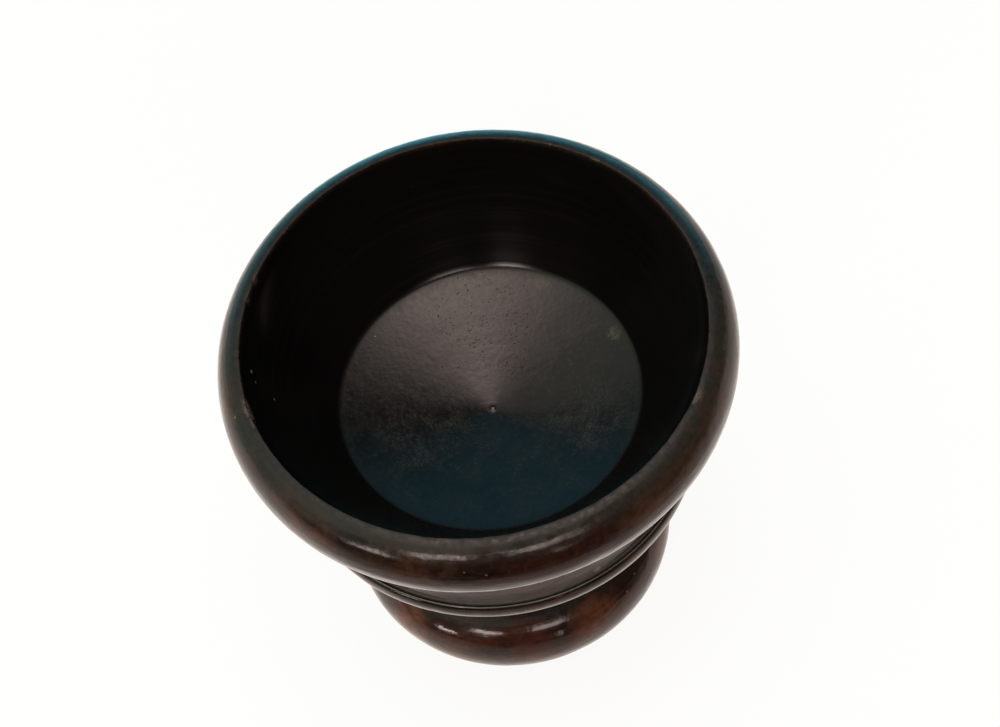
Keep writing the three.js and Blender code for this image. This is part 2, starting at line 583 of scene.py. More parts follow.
@dataclass(frozen=True)
class BowlHardwood(StainedHardwood):
    """The bowl's finish: stained outside, blackened and dry inside, with a rubbed-grey floor."""

    soot: Colour = (0.0022, 0.0018, 0.0017)
    gouge_grey: Colour = (0.0051, 0.0035, 0.0029)
    floor_dust: Colour = (0.0045, 0.0041, 0.0037)
    floor_stain: Colour = (0.0019, 0.0019, 0.0020)
    floor_speckle: Colour = (0.0125, 0.0105, 0.0095)
    floor_fleck: Colour = (0.0210, 0.0250, 0.0210)
    floor_mote: Colour = (0.1600, 0.1400, 0.1200)
    scuff: Colour = (0.0300, 0.0250, 0.0175)
    patch_dirt: Colour = (0.0850, 0.0640, 0.0460)
    pit: Colour = (0.0048, 0.0022, 0.0019)
    # worn wood on the lip, partly a painted glint on its sides
    lip_wear_and_glint: Colour = (0.0850, 0.0500, 0.0350)
    # grime on the lip in front, partly painted shade
    lip_grime_and_shade: Colour = (0.0160, 0.0150, 0.0105)
    brim_dirt: Colour = (0.0045, 0.0050, 0.0034)
    chipped: Colour = (0.1500, 0.0900, 0.0640)
    # painted highlight on the pip's tip
    pip_highlight: Colour = (0.2000, 0.1050, 0.0800)
    wall_mote: Colour = (0.3200, 0.3000, 0.2700)
    wall_gloss: float = 0.14
    floor_gloss: float = 0.19

    pit_spots: tuple[Spot, ...] = (
        Spot((2.0, 13.5, 45.0), 14.0),
        Spot((5.0, 6.0, 44.0), 3.4, 1.25),
        Spot((0.5, 0.0, 44.0), 26.0, 0.3),
    )
    scuff_spots: tuple[Spot, ...] = (
        Spot((14.5, -6.0, 45.5), 9.0, 0.8),
        Spot((-9.0, -3.0, 44.5), 11.0, 0.55),
        Spot((-4.6, 3.9, 43.5), 3.4, 0.8),
    )
    patches: tuple[Spot, ...] = (
        Spot((21.1, 6.3, 47.0), 1.8, 0.6),
        Spot((1.0, 22.4, 47.2), 2.4, 0.6),
        Spot((12.6, 19.4, 47.2), 3.0, 0.6),
        Spot((6.5, 21.5, 47.2), 2.6, 0.5),
    )
    motes: tuple[Spot, ...] = (
        Spot((-32.5, 2.6, 63.0), 0.42, 0.5),
        Spot((-32.1, 1.2, 62.2), 0.26, 0.4),
        Spot((-30.4, -0.1, 58.6), 0.26, 0.4),
        Spot((20.3, -17.4, 52.6), 0.24, 0.6),
        Spot((15.6, -19.3, 49.8), 0.28),
        Spot((0.4, -10.6, 44.5), 0.24),
        Spot((-14.9, 15.0, 46.6), 0.20, 0.7),
    )

    wall_drift: Noise = Noise(45)
    floor_drift: Noise = Noise(90, 3)
    film_noise: Noise = Noise(260, 5, 0.6, 0.3, move=(0.2, 0.9, 0.0))
    speckle_noise: Noise = Noise(1300, 3, rise=0.1, move=(0.0, 0.3, 0.0))
    hole_noise: Noise = Noise(2900, 1, rise=0.1, move=(0.7, 0.0, 0.0))
    crowd_noise: Noise = Noise(300, rise=0.1, move=(0.4, 0.0, 0.0))
    grit_noise: Noise = Noise(2600, rise=0.1, move=(0.0, 0.6, 0.0))
    bite_noise: Noise = Noise(1500, 4)
    bruise_noise: Noise = Noise(1100, 4)
    nick_noise: Noise = Noise(2200)
    mote_noise: Noise = Noise(3400, 1)
    gouge_rings: Rings = Rings(1.5, 1.2, 3, 7.0)
    floor_rings: Rings = Rings(2.0, 2.6, 3, 3.0)
    scratch_rings: Rings = Rings(6.5, 6.0, 2, 9.0)
    scuff_rings: Rings = Rings(5.0, 6.0, 2, 5.0)
    mote_scale: float = 640

    gouge_depth: float = 0.008
    ring_depth: float = 0.010
    scratch_depth: float = 0.002
    pit_depth: float = 0.04
    speckle_depth: float = 0.024
    film_depth: float = 0.045
    front_grime_and_shade_fade: Point = (0.012, 0.024)
    lip_fade: Point = (-0.012, 0.006)

    def inside(self, board: Board) -> Coat:
        """The blackened wall, with faint rings left by the gouge."""
        rings = board.rings(self.gouge_rings, board.noise(board.place(), self.wall_drift))
        colour = board.tone(rings.step(0.50, 0.80) * 0.6, self.soot, self.gouge_grey)
        return Coat(colour, self.wall_gloss + rings.swing(0.08), rings.swing(self.gouge_depth))

    def floor(self, board: Board) -> Coat:
        """The floor: a dusty grey film over dark wood, pitted where the grain ends, scuffed in rings.

        Args:
            board: the shader tree.

        Returns:
            The coat.
        """
        place = board.place()
        drift = board.noise(place, self.floor_drift)
        rings = board.rings(self.floor_rings, drift)
        scratch = board.rings(self.scratch_rings, drift)
        arcs = board.rings(self.scuff_rings, drift)
        film = board.noise(place, self.film_noise)
        speckle = board.noise(place, self.speckle_noise)
        hole = board.noise(place, self.hole_noise)
        crowd = board.noise(place, self.crowd_noise)
        grit = board.noise(place, self.grit_noise)
        gather = board.spots(place, self.pit_spots)
        pits = (hole + crowd.swing(0.20) + gather * 0.13).step(0.815, 0.87)
        marked = (arcs * 0.8 + film * 0.8 + grit * 0.9).step(1.20, 1.58)
        scuffed = board.spots(place, self.scuff_spots) * marked
        flecks = (grit * 0.8 + arcs * 0.25 + film * 0.35).step(0.76, 0.98)
        patch = board.spots(place, self.patches) * (grit * 0.6 + speckle).step(0.62, 0.95)
        motes = board.specks(place, self.mote_scale, (0.06, 0.12), (0.978, 0.983))
        colour = board.tone(film.step(0.35, 0.65), self.floor_stain, self.floor_dust)
        colour = board.painted(
            board.scaled(colour, 0.70 + rings * 0.60),
            (speckle.step(0.50, 0.72) * 0.40, self.floor_speckle),
            (scuffed * 0.55, self.scuff),
            (flecks * 0.5, self.floor_fleck),
            (patch, self.patch_dirt),
            (pits * 0.75, self.pit),
            (motes * 0.8, self.floor_mote),
        )
        rough = self.floor_gloss + film.swing(0.22) + scratch.swing(0.08) + speckle.swing(0.34)
        relief = rings.swing(self.ring_depth) + scratch.swing(self.scratch_depth) - pits * self.pit_depth
        relief = relief + speckle.swing(self.speckle_depth) + film.swing(self.film_depth)
        return Coat(colour, rough + pits * 0.30 + (scuffed + patch) * 0.20, relief)

    def material(self) -> bpy.types.Material:
        """The finished material. The lip is rubbed pale brown on its sides, partly a painted glint, and
        dark in front, partly grime and partly painted shade.
        """
        material, board = new_board(self.name)
        coat = self.worn(board, self.outside(board))
        coat = coat.under(board, board.mark(Mark.INSIDE), self.inside(board))
        coat = coat.under(board, board.mark(Mark.FLOOR), self.floor(board))
        place = board.place()
        ahead = 0 - board.parts(place)[1]
        front, facing = ahead.step(*self.front_grime_and_shade_fade), ahead.step(*self.lip_fade)
        edge, corner = board.mark(Mark.EDGE), board.mark(Mark.CORNER)
        bite = board.noise(place, self.bite_noise)
        brim = board.mark(Mark.BRIM) * bite.step(0.30, 0.52)
        lip = edge * bite.step(0.38, 0.60) * (1 - board.mark(Mark.FLOOR))
        bruise = edge * board.noise(place, self.bruise_noise).step(0.62, 0.70)
        nick = board.mark(Mark.NICK) * board.noise(place, self.nick_noise).step(0.34, 0.56)
        mote = board.spots(place, self.motes) * board.noise(place, self.mote_noise).step(0.36, 0.52)
        coat.colour = board.painted(
            coat.colour,
            (brim * 0.8, self.brim_dirt),
            # the lip: paler on the sides, partly a painted glint; darker in front, partly painted shade;
            # the pale bruises fade in front
            (lip * (0.2 + facing * 0.5), board.tone(front, self.lip_wear_and_glint, self.lip_grime_and_shade)),
            (bruise * (0.5 - front * 0.3), self.chipped),
            (corner * 0.8, self.soot),
            (nick * 0.85, self.chipped),
            # painted highlight on the pip's tip
            (board.mark(Mark.PIP) * bite.step(0.32, 0.60), self.pip_highlight),
            (mote, self.wall_mote),
        )
        coat.rough = coat.rough + lip * 0.08 + nick * 0.2 + corner * 0.14 + brim * 0.16
        coat.apply(board, self.ior)
        return material


@dataclass(frozen=True)
class PaleWedgeWood:
    """The wedge's pale, unstained wood, split along its length and greyed by age."""

    name: str
    pale: Colour = (0.3000, 0.1850, 0.0850)
    dark: Colour = (0.1150, 0.0620, 0.0280)
    aged: Colour = (0.0850, 0.0620, 0.0420)
    dryness: float = 0.58
    ior: float = 1.45
    fibre_noise: Noise = Noise(1900, 3, rise=0.06, move=(0.0, 0.0, 0.0))
    age_noise: Noise = Noise(260, 3)
    fibre_depth: float = 0.05

    def material(self) -> bpy.types.Material:
        """The finished material."""
        material, board = new_board(self.name)
        place = board.place()
        fibre = board.noise(place, self.fibre_noise)
        age = board.noise(place, self.age_noise).step(0.45, 0.70)
        colour = board.painted(self.pale, (fibre.step(0.35, 0.70), self.dark), (age * 0.5, self.aged))
        Coat(colour, self.dryness + fibre.swing(0.25), fibre.swing(self.fibre_depth)).apply(board, self.ior)
        return material


@dataclass(frozen=True)
class Trace:
    """An outline as rows of points: radius and height, with the distance along it."""

    radius: np.ndarray
    height: np.ndarray
    along: np.ndarray
    closed: bool

    def normals(self) -> np.ndarray:
        """Unit vectors out of the wood: the direction along the outline, turned a quarter right."""
        if self.closed:
            across = np.roll(self.radius, -1) - np.roll(self.radius, 1)
            up = np.roll(self.height, -1) - np.roll(self.height, 1)
        else:
            across, up = np.gradient(self.radius), np.gradient(self.height)
        out = np.stack([up, -across], axis=1)
        return out / np.linalg.norm(out, axis=1, keepdims=True)

    def station(self, radius: float, height: float) -> float:
        """How far along the outline it passes closest to a point."""
        return float(self.along[np.argmin(np.hypot(self.radius - radius, self.height - height))])


@dataclass
class Run:
    """One stretch of an outline: close points, the row spacing on it and the easing of its end."""

    points: np.ndarray
    step: float
    ease: float

    def length(self) -> float:
        """How long the stretch is."""
        return float(np.hypot(*np.diff(self.points, axis=0).T).sum())

    def cut(self, head: float, tail: float, count: int = 96) -> np.ndarray:
        """The stretch without its ends.

        Args:
            head: the length that is left off at its start.
            tail: the length that is left off at its end.
            count: how many points are kept.

        Returns:
            Points at even distances.
        """
        reach = np.concatenate([[0.0], np.cumsum(np.hypot(*np.diff(self.points, axis=0).T))])
        kept = np.linspace(head, reach[-1] - tail, count)
        return np.stack([np.interp(kept, reach, self.points[:, k]) for k in (0, 1)], axis=1)


def quadratic(start: Point, control: Point, end: Point, count: int) -> np.ndarray:
    """Points of a quadratic curve: (1-t)^2 of its start, 2t(1-t) of its control, t^2 of its end.

    Args:
        start: where it starts.
        control: the corner that it bends towards.
        end: where it ends.
        count: how many points, at even values of t.

    Returns:
        The points.
    """
    t = np.linspace(0.0, 1.0, count)[:, None]
    return (1 - t) ** 2 * np.array(start) + 2 * t * (1 - t) * np.array(control) + t * t * np.array(end)


class Outline:
    """A turner's outline, drawn stretch by stretch, with each corner eased as a tool leaves it."""

    TURN_STEP = math.radians(11)
    EASE_SHARE = 0.45
    LINE_POINTS = 65
    BEND_POINTS = 129
    ARC_POINTS = 193
    CORNER_POINTS = 25

    def __init__(self, radius: float, height: float) -> None:
        """Puts the pen down."""
        self.pen = (radius, height)
        self.runs: list[Run] = []

    def _draw(self, points: np.ndarray, step: float, ease: float) -> None:
        """Adds a stretch and moves the pen to its end."""
        self.runs.append(Run(points, step, ease))
        self.pen = (float(points[-1, 0]), float(points[-1, 1]))

    def line(self, radius: float, height: float, step: float = 1.2, ease: float = 0.2) -> None:
        """A straight stretch.

        Args:
            radius: where it ends, across.
            height: where it ends, up.
            step: the row spacing on it.
            ease: how far its end corner is rounded.
        """
        self._draw(np.linspace(self.pen, (radius, height), self.LINE_POINTS), step, ease)

    def bend(self, control: Point, end: Point, step: float = 0.8, ease: float = 0.0) -> None:
        """A quadratic curve: the blend of its start, control and end by (1-t)^2, 2t(1-t) and t^2.

        Args:
            control: the corner that it bends towards.
            end: where it ends.
            step: the row spacing on it.
            ease: how far its end corner is rounded.
        """
        self._draw(quadratic(self.pen, control, end, self.BEND_POINTS), step, ease)

    def arc(self, centre: Point, reach: Point, turns: Point, step: float = 0.8, ease: float = 0.0) -> None:
        """Part of an ellipse: its centre plus the reach times the cosine and sine of an angle.

        Args:
            centre: the middle of the ellipse.
            reach: its half width and half height.
            turns: the first and last angle, in degrees.
            step: the row spacing on it.
            ease: how far its end corner is rounded.
        """
        angle = np.radians(np.linspace(*turns, self.ARC_POINTS))
        points = np.array(centre) + np.array(reach) * np.stack([np.cos(angle), np.sin(angle)], axis=1)
        self._draw(points, step, ease)

    def _rounded(self, closed: bool) -> tuple[np.ndarray, np.ndarray]:
        """Rounds the corners.

        A corner is a quadratic curve from a little before it to a little after it, bent towards
        it.

        Args:
            closed: whether the outline meets its own start.

        Returns:
            The outline's close points, and the row spacing at each.
        """
        count = len(self.runs)
        eases = []
        for k, run in enumerate(self.runs):
            after = self.runs[(k + 1) % count]
            limit = self.EASE_SHARE * min(run.length(), after.length())
            eases.append(min(run.ease, limit) if closed or k < count - 1 else 0.0)
        pieces, steps = [], []
        for k, run in enumerate(self.runs):
            points = run.cut(eases[k - 1] if closed or k else 0.0, eases[k])
            pieces.append(points)
            steps.append(np.full(len(points), run.step))
            if eases[k]:
                end = self.runs[(k + 1) % count].cut(eases[k], 0.0)[0]
                pieces.append(quadratic(points[-1], run.points[-1], end, self.CORNER_POINTS))
                steps.append(np.full(self.CORNER_POINTS, run.step))
        path, spacing = np.concatenate(pieces), np.concatenate(steps)
        if closed:
            path, spacing = np.vstack([path, path[:1]]), np.append(spacing, spacing[0])
        moved = np.hypot(*np.diff(path, axis=0).T)
        fresh = np.append(True, moved > TINY)
        path, spacing = path[fresh], spacing[fresh]
        if closed:
            path[-1] = path[0]
        return path, spacing

    def trace(self, closed: bool) -> Trace:
        """Rounds the corners and sets the rows, closer together where the outline turns.

        The rows lie at even values of the length over its spacing plus the turning over the
        turn step.

        Args:
            closed: whether the outline meets its own start.

        Returns:
            The rows.
        """
        path, spacing = self._rounded(closed)
        move = np.diff(path, axis=0)
        length = np.hypot(*move.T)
        heading = np.unwrap(np.arctan2(move[:, 1], move[:, 0]))
        turning = np.concatenate([[0.0], np.abs(np.diff(heading))])
        measure = np.concatenate([[0.0], np.cumsum(length / spacing[1:] + turning / self.TURN_STEP)])
        reach = np.concatenate([[0.0], np.cumsum(length)])
        rows = np.linspace(0.0, measure[-1], int(math.ceil(measure[-1])) + 1)
        if closed:
            rows = rows[:-1]
        radius, height, along = (np.interp(rows, measure, v) for v in (path[:, 0], path[:, 1], reach))
        return Trace(radius, height, along, closed)


@dataclass(frozen=True)
class Nick:
    """A bruise or chip: where it is, its size round and along the outline, and its depth."""

    turn: float
    along: float
    width: float
    length: float
    depth: float


def nick_depth(nicks: list[Nick], trace: Trace, turn: np.ndarray) -> np.ndarray:
    """Adds up nicks, each the depth times exp(-(u^2 + v^2)) of its distances round and along.

    Args:
        nicks: the nicks.
        trace: the outline's rows.
        turn: the angle of each side.

    Returns:
        The depth for each row and side, in millimetres.
    """
    table = np.array([[n.turn, n.along, n.width, n.length, n.depth] for n in nicks])
    angle, along, width, length, depth = table.T[:, :, None, None]
    apart = (turn[None, None, :] - np.radians(angle) + math.pi) % (2 * math.pi) - math.pi
    across = apart * trace.radius[None, :, None] / width
    down = (trace.along[None, :, None] - along) / length
    return (depth * np.exp(-(across**2) - down**2)).sum(axis=0)


@dataclass(frozen=True)
class Scatter:
    """Nicks at seeded random places: how many, and their least and greatest place, size and depth."""

    seed: int
    count: int
    span: Point
    size: Point
    depth: Point

    def nicks(self, first: float, last: float) -> list[Nick]:
        """Draws the nicks.

        Args:
            first: the place along the outline that the least place is counted from.
            last: the one that the greatest place is counted from.

        Returns:
            The nicks.
        """
        draw = np.random.default_rng(self.seed)
        turn = draw.uniform(0, 360, self.count)
        along = draw.uniform(first + self.span[0], last + self.span[1], self.count)
        width, length = draw.uniform(*self.size, self.count), draw.uniform(*self.size, self.count)
        deep = draw.uniform(*self.depth, self.count)
        return [Nick(*values) for values in zip(turn, along, width, length, deep)]


def smooth_step(value: np.ndarray, low: float, high: float) -> np.ndarray:
    """A smooth step from 0 at the low value to 1 at the high one."""
    share = np.clip((value - low) / (high - low), 0.0, 1.0)
    return share * share * (3 - 2 * share)


def tool_rings(along: np.ndarray, pitch: float, seed: int) -> np.ndarray:
    """Rings that a tool leaves: random heights from 0 to 1 a pitch apart, joined by smooth steps."""
    knots = np.random.default_rng(seed).uniform(0, 1, int(along.max() / pitch) + 3)
    low = np.floor(along / pitch).astype(int)
    share = smooth_step(along / pitch - low, 0.0, 1.0)
    return knots[low] * (1 - share) + knots[low + 1] * share


@dataclass
class WrappedGrid:
    """A grid of points that closes round its sides, and at poles or on itself along its rows."""

    name: str
    points: np.ndarray
    poles: np.ndarray
    closed: bool
    marks: dict[Mark, np.ndarray] = field(default_factory=dict)

    def build(self) -> bpy.types.Object:
        """Makes the mesh object: quads between rows, triangles round a pole, marks on the points."""
        rows, sides = self.points.shape[:2]
        counts = np.where(self.poles, 1, sides)
        first = np.cumsum(counts) - counts
        index = first[:, None] + np.where(self.poles[:, None], 0, np.arange(sides)[None, :])
        kept = ~self.poles[:, None] | (np.arange(sides)[None, :] == 0)
        low = index if self.closed else index[:-1]
        high = np.roll(index, -1, axis=0) if self.closed else index[1:]
        quads = np.stack([low, np.roll(low, -1, axis=1), np.roll(high, -1, axis=1), high], axis=-1)
        starts = self.poles[: len(low)]
        ends = np.roll(self.poles, -1)[: len(low)]
        faces = quads[~starts & ~ends].reshape(-1, 4).tolist()
        faces += quads[starts][..., [0, 2, 3]].reshape(-1, 3).tolist()
        faces += quads[ends][..., [0, 1, 2]].reshape(-1, 3).tolist()
        mesh = bpy.data.meshes.new(self.name)
        mesh.from_pydata((self.points[kept] * MM).tolist(), [], faces)
        mesh.polygons.foreach_set("use_smooth", np.ones(len(faces), bool))
        for mark, values in self.marks.items():
            layer = mesh.attributes.new(mark.value, "FLOAT", "POINT")
            layer.data.foreach_set("value", np.broadcast_to(values, kept.shape)[kept].astype(np.float32))
        mesh.update()
        return new_object(self.name, mesh)


def settle(piece: bpy.types.Object, node: str) -> bpy.types.Object:
    """Puts a piece on the frame in place of a node.

    Args:
        piece: the piece.
        node: the node that it stands for.

    Returns:
        The piece.
    """
    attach(piece, "root")
    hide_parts(node)
    return piece


def box_of(node: str) -> tuple[np.ndarray, np.ndarray]:
    """A node's lowest and highest corners, in millimetres."""
    low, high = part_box(node)
    return np.array(low) / MM, np.array(high) / MM


@dataclass
class WoodPiece:
    """A piece of wood: its name, the node that it stands for, its material slot and its finish."""

    name: str
    node: str
    slot: Slot
    finish: StainedHardwood | PaleWedgeWood

    def __post_init__(self) -> None:
        """Reads the node's lowest and highest corners from the frame."""
        self.low, self.high = box_of(self.node)

    def build(self) -> bpy.types.Object:
        """The piece's mesh object, without its finish."""
        raise NotImplementedError

    def make(self) -> bpy.types.Object:
        """Builds and dresses the piece, and puts it in the node's place."""
        piece = self.build()
        piece.data.materials.append(self.finish.material())
        return settle(piece, self.node)


@dataclass
class TurnedPiece(WoodPiece):
    """A piece turned about the Z axis, with its outline and its wear."""

    sides: int = 384
    seed: int = 1
    ovality: float = 0.05
    lean: float = 120.0
    tool_depth: float = 0.012
    tool_pitch: float = 1.7
    quiet_centre: Point = (0.5, 4.0)
    bare_nick: Point = (0.08, 0.20)

    def outline(self) -> Trace:
        """The piece's outline, in millimetres."""
        raise NotImplementedError

    def nicks(self, trace: Trace) -> list[Nick]:
        """The piece's bruises."""
        raise NotImplementedError

    def marks(self, trace: Trace) -> dict[Mark, np.ndarray]:
        """The values that the finish reads, for each row."""
        raise NotImplementedError

    def shift(self, trace: Trace) -> np.ndarray:
        """How far each row lies off the axis, across and back."""
        return np.zeros((len(trace.radius), 2))

    def sink(self, trace: Trace, turn: np.ndarray, bruises: np.ndarray) -> np.ndarray:
        """How far the surface lies below its outline: ovality, tool rings and bruises.

        Args:
            trace: the outline's rows.
            turn: the angle of each side.
            bruises: the depth of the bruises.

        Returns:
            The depth for each row and side, in millimetres.
        """
        squeeze = self.ovality * (0.5 + 0.5 * np.cos(2 * (turn - math.radians(self.lean))))
        rings = self.tool_depth * tool_rings(trace.along, self.tool_pitch, self.seed)
        open_face = smooth_step(trace.radius, *self.quiet_centre)[:, None]
        return open_face * (squeeze[None, :] + rings[:, None]) + bruises

    def build(self) -> bpy.types.Object:
        """Turns the outline: each point is its radius, less what is worn off, carried round the axis."""
        trace = self.outline()
        turn = np.linspace(0, 2 * math.pi, self.sides, endpoint=False)
        bruises = nick_depth(self.nicks(trace), trace, turn)
        sink = self.sink(trace, turn, bruises)
        out = trace.normals()
        radius = trace.radius[:, None] - sink * out[:, :1]
        height = trace.height[:, None] - sink * out[:, 1:]
        move = self.shift(trace)
        x = radius * np.cos(turn) + move[:, :1]
        y = radius * np.sin(turn) + move[:, 1:]
        marks = {mark: values[:, None] for mark, values in self.marks(trace).items()}
        marks[Mark.ALONG] = trace.along[:, None]
        marks[Mark.NICK] = np.interp(bruises, self.bare_nick, (0.0, 1.0))
        poles = (trace.radius < TINY) & (not trace.closed)
        return WrappedGrid(self.name, np.stack([x, y, height], axis=-1), poles, trace.closed, marks).build()


def near(trace: Trace, place: float, reach: float | np.ndarray) -> np.ndarray:
    """A bell round a place along the outline, exp(-(distance over reach)^2)."""
    return np.exp(-(((trace.along - place) / reach) ** 2))


@dataclass
class SaltBowl(TurnedPiece):
    """The bowl: spigot, straight waist, ogee, rolled lip, curved wall and coned floor with its pip."""

    name: str = "salt_bowl"
    node: str = "bowl"
    slot: Slot = Slot.BOWL
    finish: StainedHardwood = BowlHardwood(
        "bowl_stain",
        gloss=0.15,
        brown_share=0.62,
        amber_share=0.5,
        seed=1.3,
        amber_spots=(
            Spot((-28.7, -23.6, 62.0), 9.0, 0.75),
            Spot((17.1, -33.1, 61.5), 8.0, 0.35),
            Spot((33.5, -17.0, 60.0), 8.0, 0.35),
            Spot((-36.5, -6.0, 60.0), 12.0, 0.8),
            Spot((4.0, -30.0, 41.0), 15.0, 0.45),
            Spot((-12.5, -35.2, 65.0), 9.0, 0.40),
        ),
        chips=(
            Spot((-7.9, -36.5, 63.5), 0.24, 0.35),
            Spot((-5.1, -37.3, 62.8), 0.28, 0.35),
            Spot((10.6, -28.5, 39.4), 0.85, 0.5),
            Spot((-35.4, -6.1, 65.6), 0.28, 0.6),
        ),
    )
    seed: int = 3
    tool_depth: float = 0.020

    waist_radius: float = 30.3
    waist_height: float = 5.9
    waist_flare: float = 0.18
    flare_height: float = 2.2
    flare_bend: float = 0.8
    foot_ease: float = 0.08
    ogee_hollow: float = 5.6
    ogee_swell: float = 4.1
    roll_rise: float = 6.2
    lip_width: float = 4.3
    lip_ease: float = 0.12
    footing_wall: float = 7.3
    wall_inset: float = 1.1
    wall_drop: float = 6.0
    floor_thickness: float = 3.5
    floor_dish: float = 5.1
    floor_ease: float = 0.5
    floor_sweep: float = 7.0
    floor_sag: float = 0.35
    floor_bow: float = 0.25
    sweep_share: float = 0.5
    floor_offset: Point = (0.5, 0.35)
    pip_radius: float = 0.8
    pip_height: float = 0.24
    pip_hollow: float = 0.45
    pip_shoulder: float = 0.2
    pip_crown: float = 0.05
    spigot_radius: float = 9.0
    spigot_chamfer: float = 0.6

    # Each chip's place along the outline is counted from the mouth's edge
    mouth_chips: tuple[Nick, ...] = (
        Nick(190.4, 0.3, 1.5, 0.9, 0.40),
        Nick(187.6, 0.4, 0.6, 0.7, 0.25),
        Nick(194.6, 0.1, 0.7, 0.6, 0.22),
        Nick(-33.9, 0.2, 1.1, 0.9, 0.42),
        Nick(-31.0, 0.1, 0.5, 0.5, 0.18),
        Nick(151.4, 0.1, 0.9, 0.5, 0.20),
        Nick(157.5, 0.1, 0.7, 0.5, 0.15),
    )
    edge_bruises: Scatter = Scatter(11, 90, (-0.15, 0.35), (0.25, 0.8), (0.02, 0.07))
    belly_bruises: Scatter = Scatter(12, 40, (-9.0, -1.0), (0.5, 1.8), (0.01, 0.05))

    crown_fade: Point = (-5.5, -1.3)
    brim_fade: Point = (-1.5, -0.8)
    brim_end: float = 0.2
    edge_place: float = 0.14
    edge_reach: float = 0.17
    inside_fade: Point = (0.1, 0.7)
    floor_fade: Point = (-0.3, 0.7)
    corner_reach: Point = (0.6, 1.3)
    foot_dust: float = 0.4
    dust_reach: float = 0.30
    bare_gap: float = 0.6
    tip_share: float = 0.5
    tip_fade: float = 0.15

    def __post_init__(self) -> None:
        """Reads the heights and the widest radius from the frame."""
        super().__post_init__()
        self.spigot_end, self.mouth_height, self.rim_radius = self.low[2], self.high[2], self.high[0]
        self.footing = box_of("bead_collar")[1][2]
        self.mouth_radius = self.rim_radius - self.lip_width
        self.floor_radius = self.waist_radius - self.footing_wall
        self.floor_centre = self.footing + self.floor_thickness
        self.floor_edge = self.floor_centre + self.floor_dish

    def cone_height(self, radius: float) -> float:
        """How high the floor's straight cone lies at a radius."""
        return self.floor_centre + self.floor_dish * radius / self.floor_radius

    def outline(self) -> Trace:
        """From the spigot's end up the outside, over the rolled lip and down to the pip."""
        outline = Outline(0.0, self.spigot_end)
        self.draw_outside(outline)
        self.draw_inside(outline)
        return outline.trace(closed=False)

    def draw_outside(self, outline: Outline) -> None:
        """Draws the spigot, the waist, the ogee and the lip."""
        waist_top = self.footing + self.waist_height
        widest = self.mouth_height - self.roll_rise
        hollow = waist_top + self.ogee_hollow
        swell = widest - self.ogee_swell
        middle = ((self.waist_radius + self.rim_radius) / 2, (hollow + swell) / 2)
        flare_end = (self.waist_radius, self.footing + self.flare_height)
        lip_reach = (self.lip_width, self.roll_rise)
        outline.line(self.spigot_radius - self.spigot_chamfer, self.spigot_end, step=3.0, ease=0.1)
        outline.line(self.spigot_radius, self.spigot_end + self.spigot_chamfer, step=1.0, ease=0.1)
        outline.line(self.spigot_radius, self.footing, step=4.0, ease=0.1)
        outline.line(self.waist_radius + self.waist_flare, self.footing, step=5.0, ease=self.foot_ease)
        outline.bend((self.waist_radius, self.footing + self.flare_bend), flare_end, step=0.25)
        outline.line(self.waist_radius, waist_top, step=0.7, ease=0.0)
        outline.bend((self.waist_radius, hollow), middle, step=0.7)
        outline.bend((self.rim_radius, swell), (self.rim_radius, widest), step=0.7)
        outline.arc((self.mouth_radius, widest), lip_reach, (0, 90), step=0.55, ease=self.lip_ease)

    def draw_inside(self, outline: Outline) -> None:
        """Draws the wall, the floor's upswept edge, its sagging cone and the pip."""
        wall_bend = (self.mouth_radius - self.wall_inset, self.mouth_height - self.wall_drop)
        pip_edge = self.cone_height(self.pip_radius)
        pip_top = pip_edge + self.pip_height
        sweep_radius = self.floor_radius - self.floor_sweep
        sweep_height = self.cone_height(sweep_radius) - self.floor_sag
        half_span = (sweep_radius - self.pip_radius) / 2
        floor_bend = (self.pip_radius + half_span, (sweep_height + pip_edge) / 2 - self.floor_bow)
        slope = (sweep_height - floor_bend[1]) / half_span
        ahead = self.sweep_share * self.floor_sweep
        sweep_bend = (sweep_radius + ahead, sweep_height + slope * ahead)
        pip_bend = (self.pip_hollow * self.pip_radius, pip_edge)
        pip_end = (self.pip_shoulder * self.pip_radius, pip_top - self.pip_crown)
        outline.bend(wall_bend, (self.floor_radius, self.floor_edge), step=0.8, ease=self.floor_ease)
        outline.bend(sweep_bend, (sweep_radius, sweep_height), step=0.42)
        outline.bend(floor_bend, (self.pip_radius, pip_edge), step=0.42, ease=0.2)
        outline.bend(pip_bend, pip_end, step=0.08, ease=0.08)
        outline.line(0.0, pip_top, step=0.08)

    def shift(self, trace: Trace) -> np.ndarray:
        """The inside was turned off centre: the floor lies to one side, and its tip leans back."""
        mouth = trace.station(self.mouth_radius, self.mouth_height)
        floor = trace.station(self.floor_radius, self.floor_edge)
        share = smooth_step(trace.along, mouth, floor)
        lean = (trace.along > floor) * (1 - np.clip(trace.radius / self.floor_radius, 0, 1))
        return np.stack([share * self.floor_offset[0], lean * self.floor_offset[1]], axis=1)

    def nicks(self, trace: Trace) -> list[Nick]:
        """Chips on the mouth's edge, as they lie on the real one, and small bruises elsewhere."""
        edge = trace.station(self.mouth_radius, self.mouth_height)
        belly = trace.station(self.rim_radius, self.mouth_height - self.roll_rise)
        chips = [replace(chip, along=edge + chip.along) for chip in self.mouth_chips]
        return chips + self.edge_bruises.nicks(edge, edge) + self.belly_bruises.nicks(belly, edge)

